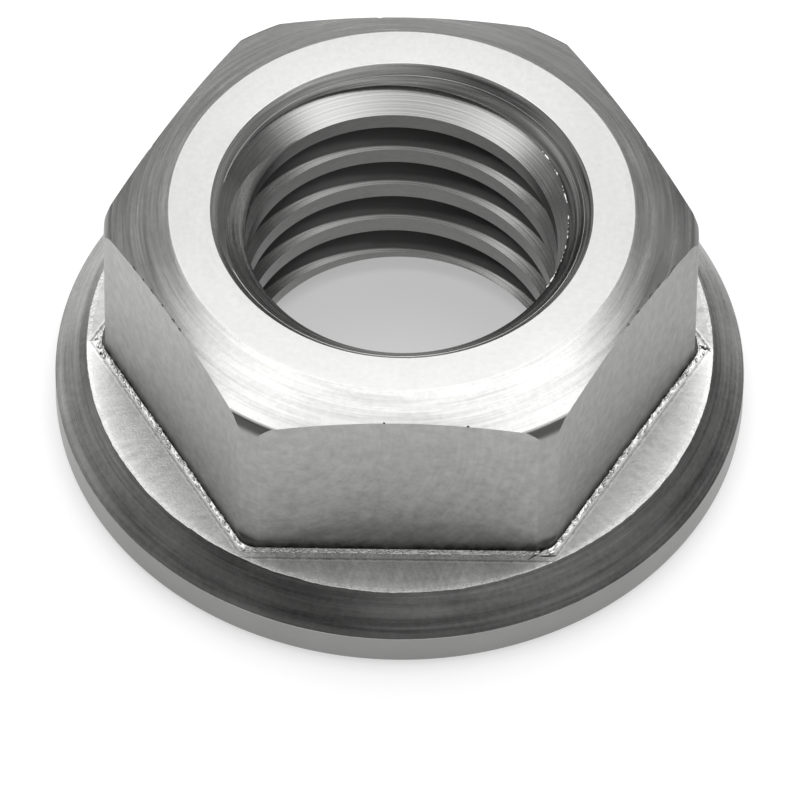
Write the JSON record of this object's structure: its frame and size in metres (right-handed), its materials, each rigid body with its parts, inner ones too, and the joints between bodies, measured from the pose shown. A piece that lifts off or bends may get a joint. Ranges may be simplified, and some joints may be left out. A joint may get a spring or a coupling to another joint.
{
  "type": "flange nut",
  "caption": "Hexagonal flange nut with a built-in washer collar and a threaded hole; tightened on a bolt with a wrench, it spreads the clamping load without a loose washer.",
  "frame": {"origin": "centre of the bearing face, the large flat face under the flange", "axes": "+Z along the thread's axis, from the bearing face up to the narrow top face; two wrench flats face -Y and +Y, and two corners lie on -X and +X"},
  "size_m": [0.0226, 0.0224, 0.0094],
  "materials": {
    "machined_steel": null
  },
  "bodies": {
    "root": {"flange_nut": "machined_steel"}
  },
  "joints": []
}
